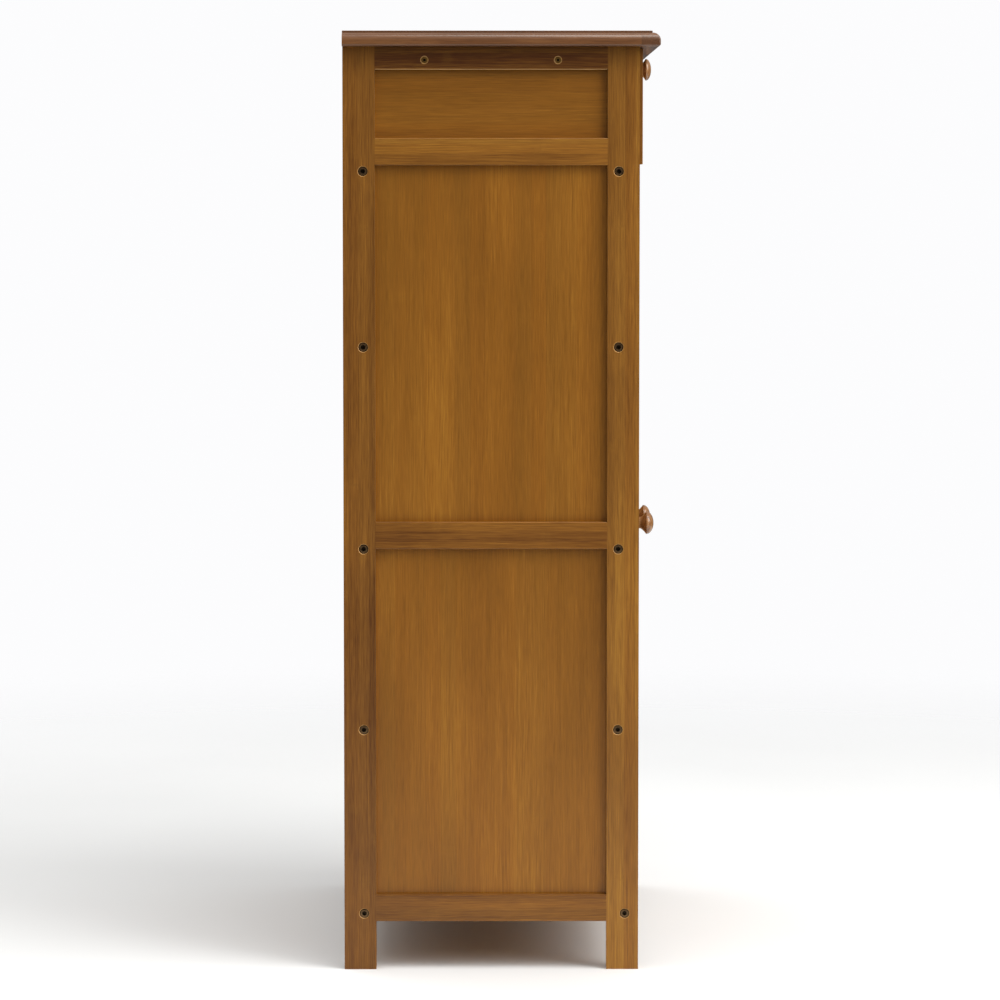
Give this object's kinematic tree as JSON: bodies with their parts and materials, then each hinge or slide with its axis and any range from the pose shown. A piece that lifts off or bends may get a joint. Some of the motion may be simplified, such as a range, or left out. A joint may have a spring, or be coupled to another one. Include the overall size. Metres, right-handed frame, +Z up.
{
  "type": "pantry cabinet",
  "caption": "Tall narrow frame-and-panel pantry cabinet on short legs, with a moulded top, one shallow drawer over two inset doors with turned knobs, and shelves inside.",
  "frame": {"origin": "on the floor, under the middle of the whole cabinet's bounding box, door knobs included", "axes": "+X across the width to the viewer's right facing the doors, +Y from the doors to the back, +Z up"},
  "size_m": [0.64, 0.399, 1.178],
  "materials": {
    "bamboo_frame": "stained laminated bamboo, satin lacquer",
    "bamboo_panel": "stained bamboo ply, satin lacquer",
    "bamboo_top": "stained laminated bamboo, satin lacquer",
    "bamboo_inside": "stained bamboo board, thin matt lacquer",
    "turned_wood": "turned and lacquered hardwood",
    "bronzed_steel": "dark bronzed steel",
    "zinc_steel": "bright zinc-plated steel",
    "nylon": "moulded off-white nylon"
  },
  "bodies": {
    "cabinet": {"left_front_stile": "bamboo_frame", "left_back_stile": "bamboo_frame", "left_top_rail": "bamboo_frame", "left_upper_rail": "bamboo_frame", "left_middle_rail": "bamboo_frame", "left_bottom_rail": "bamboo_frame", "left_top_panel": "bamboo_panel", "left_middle_panel": "bamboo_panel", "left_lower_panel": "bamboo_panel", "right_front_stile": "bamboo_frame", "right_back_stile": "bamboo_frame", "right_top_rail": "bamboo_frame", "right_upper_rail": "bamboo_frame", "right_middle_rail": "bamboo_frame", "right_bottom_rail": "bamboo_frame", "right_top_panel": "bamboo_panel", "right_middle_panel": "bamboo_panel", "right_lower_panel": "bamboo_panel", "top_board": "bamboo_top", "top_cleats": "bamboo_inside", "back_rails": "bamboo_frame", "back_panels": "bamboo_panel", "drawer_divider": "bamboo_inside", "upper_shelf": "bamboo_inside", "middle_shelf": "bamboo_inside", "lower_shelf": "bamboo_inside", "bottom_board": "bamboo_inside", "front_bottom_rail": "bamboo_frame", "centre_post": "bamboo_frame", "drawer_runners": "bamboo_inside", "shelf_bolts": "bronzed_steel", "cleat_screws": "bronzed_steel", "pivot_bushes": "nylon", "magnetic_catches": "nylon"},
    "left_door": {"left_door_hinge_stile": "bamboo_frame", "left_door_inner_stile": "bamboo_frame", "left_door_top_rail": "bamboo_frame", "left_door_middle_rail": "bamboo_frame", "left_door_bottom_rail": "bamboo_frame", "left_door_panels": "bamboo_panel", "left_door_knob": "turned_wood", "left_door_pins": "zinc_steel", "left_door_strike": "zinc_steel"},
    "right_door": {"right_door_hinge_stile": "bamboo_frame", "right_door_inner_stile": "bamboo_frame", "right_door_top_rail": "bamboo_frame", "right_door_middle_rail": "bamboo_frame", "right_door_bottom_rail": "bamboo_frame", "right_door_panels": "bamboo_panel", "right_door_knob": "turned_wood", "right_door_pins": "zinc_steel", "right_door_strike": "zinc_steel"},
    "drawer": {"drawer_front_stiles": "bamboo_frame", "drawer_front_rails": "bamboo_frame", "drawer_front_panel": "bamboo_panel", "left_drawer_side": "bamboo_inside", "right_drawer_side": "bamboo_inside", "drawer_back": "bamboo_inside", "drawer_bottom": "bamboo_inside", "drawer_knob": "turned_wood"}
  },
  "joints": [
    {"name": "left_door_hinge", "type": "hinge", "parent": "cabinet", "child": "left_door", "pos_m": [-0.2705, -0.1625, 0.5388], "axis": [0, 0, -1], "range_deg": [0, 100]},
    {"name": "right_door_hinge", "type": "hinge", "parent": "cabinet", "child": "right_door", "pos_m": [0.2705, -0.1625, 0.5388], "axis": [0, 0, 1], "range_deg": [0, 100]},
    {"name": "drawer_slide", "type": "slide", "parent": "cabinet", "child": "drawer", "axis": [0, -1, 0], "range_m": [0, 0.25]}
  ]
}
